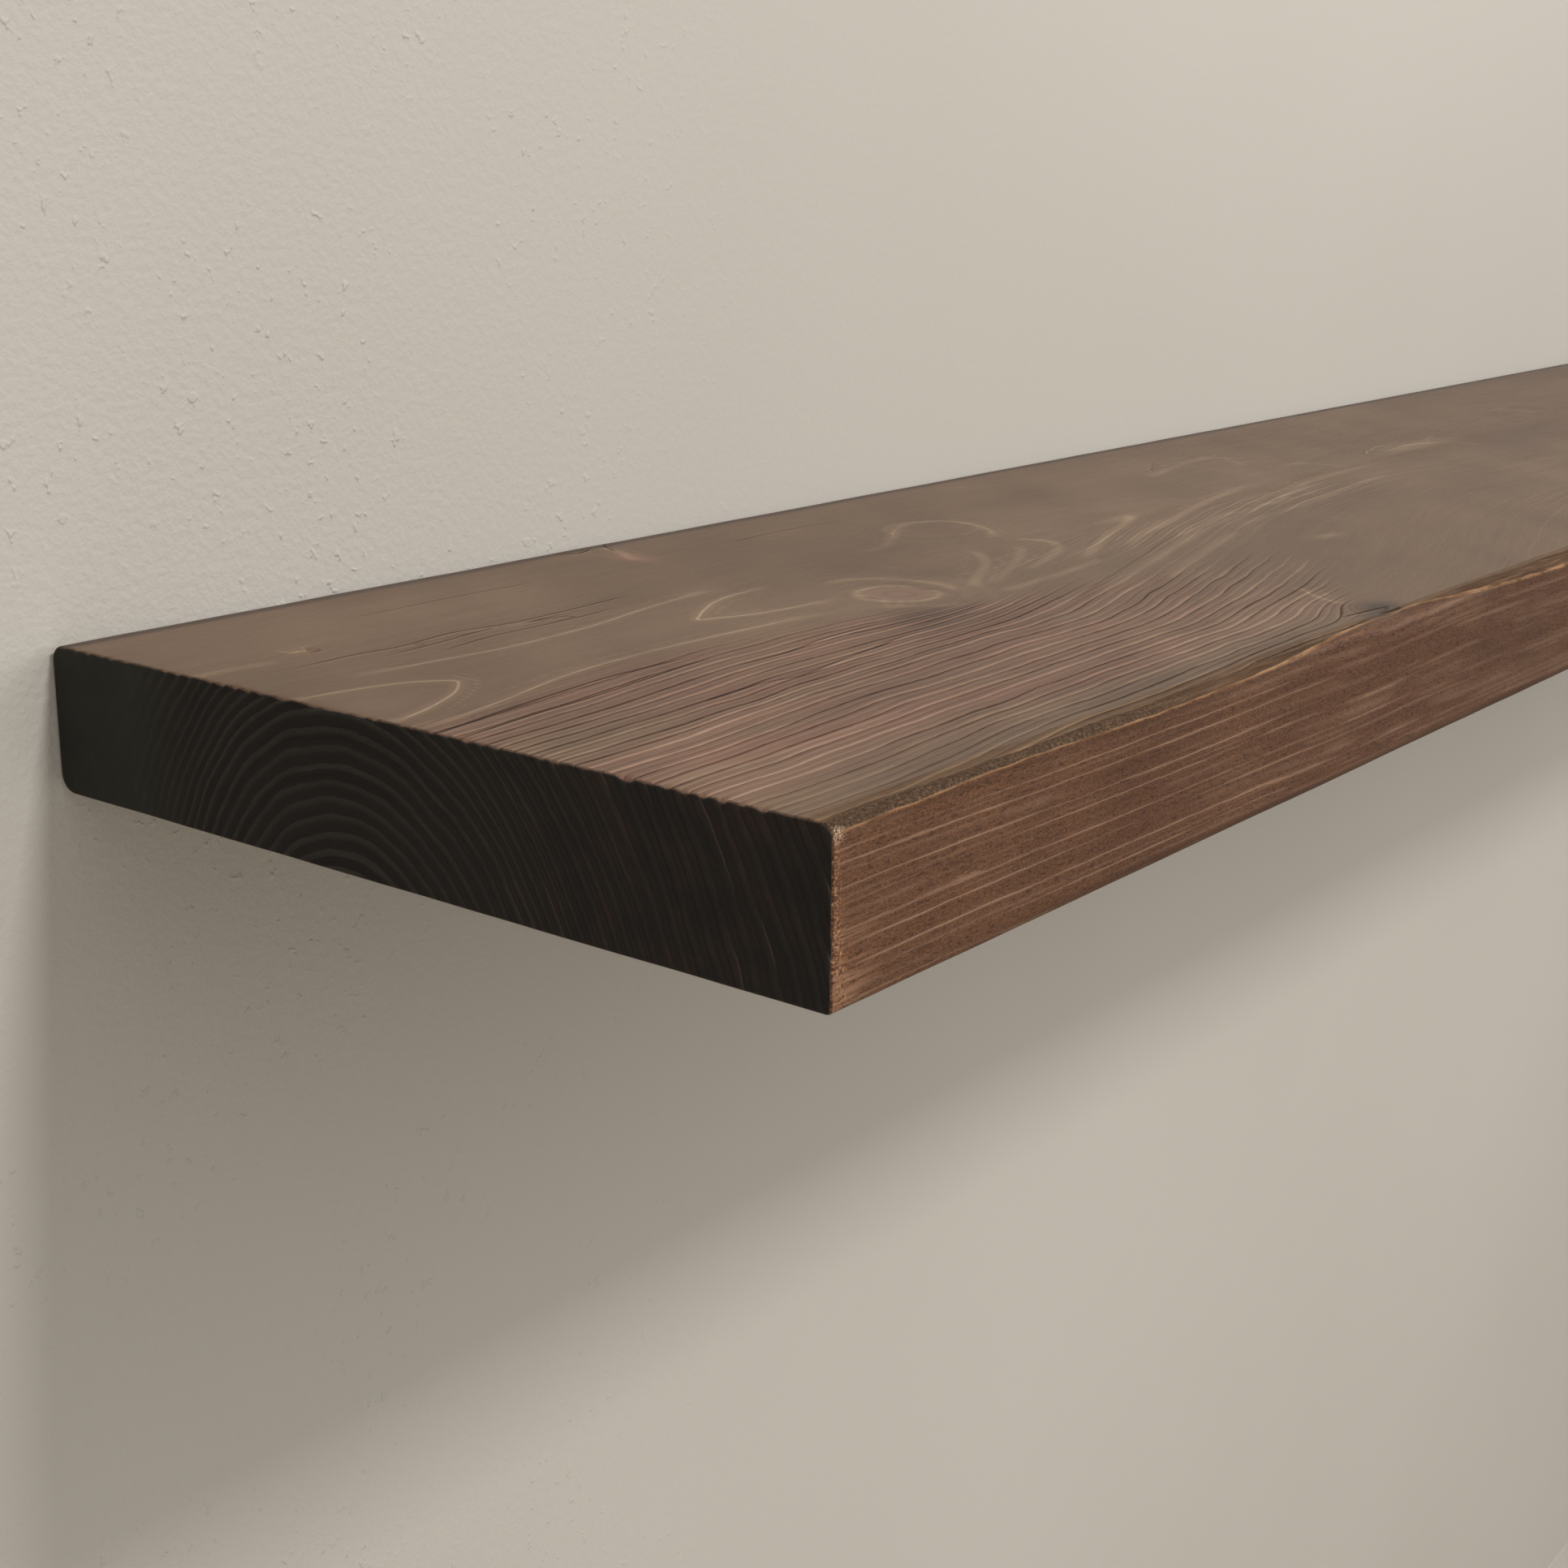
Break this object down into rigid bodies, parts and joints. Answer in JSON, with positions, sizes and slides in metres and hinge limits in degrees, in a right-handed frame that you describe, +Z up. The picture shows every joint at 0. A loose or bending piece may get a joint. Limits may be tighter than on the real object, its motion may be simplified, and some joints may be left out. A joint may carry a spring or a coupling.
{
  "type": "floating wall shelf",
  "caption": "Thick dark-stained timber plank shelf on concealed steel rods that are plugged and screwed to a wall, locked from below by grub screws.",
  "frame": {"origin": "on the wall plane, at the middle of the board's length and thickness, which is the height of the rods' axes", "axes": "+X along the wall to the right seen from the room, +Y into the wall, +Z up; the board reaches out towards -Y"},
  "size_m": [1.2, 0.2811, 0.035],
  "materials": {
    "stained_timber": "dark walnut stain, waxed, with worn arrises",
    "zinc_plated_steel": "bright zinc plate, satin",
    "yellow_zinc_screw": "yellow passivated zinc",
    "grey_nylon": "moulded",
    "brass": "turned",
    "blackened_steel": "oiled black oxide"
  },
  "bodies": {
    "wall_supports": {"wall_plate_left": "zinc_plated_steel", "support_rod_left": "zinc_plated_steel", "wall_plate_middle": "zinc_plated_steel", "support_rod_middle": "zinc_plated_steel", "wall_plate_right": "zinc_plated_steel", "support_rod_right": "zinc_plated_steel", "wall_screw_left_1": "yellow_zinc_screw", "wall_plug_left_1": "grey_nylon", "wall_screw_left_2": "yellow_zinc_screw", "wall_plug_left_2": "grey_nylon", "wall_screw_middle_1": "yellow_zinc_screw", "wall_plug_middle_1": "grey_nylon", "wall_screw_middle_2": "yellow_zinc_screw", "wall_plug_middle_2": "grey_nylon", "wall_screw_right_1": "yellow_zinc_screw", "wall_plug_right_1": "grey_nylon", "wall_screw_right_2": "yellow_zinc_screw", "wall_plug_right_2": "grey_nylon"},
    "board": {"shelf_board": "stained_timber", "thread_insert_left": "brass", "thread_insert_middle": "brass", "thread_insert_right": "brass"},
    "lock_screw_left": {"lock_screw_left": "blackened_steel"},
    "lock_screw_middle": {"lock_screw_middle": "blackened_steel"},
    "lock_screw_right": {"lock_screw_right": "blackened_steel"}
  },
  "joints": [
    {"name": "board_slide", "type": "slide", "parent": "wall_supports", "child": "board", "axis": [0, -1, 0], "range_m": [0, 0.17]},
    {"name": "lock_travel_left", "type": "slide", "parent": "board", "child": "lock_screw_left", "axis": [0, 0, -1], "range_m": [0, 0.006]},
    {"name": "lock_travel_middle", "type": "slide", "parent": "board", "child": "lock_screw_middle", "axis": [0, 0, -1], "range_m": [0, 0.006]},
    {"name": "lock_travel_right", "type": "slide", "parent": "board", "child": "lock_screw_right", "axis": [0, 0, -1], "range_m": [0, 0.006]}
  ]
}
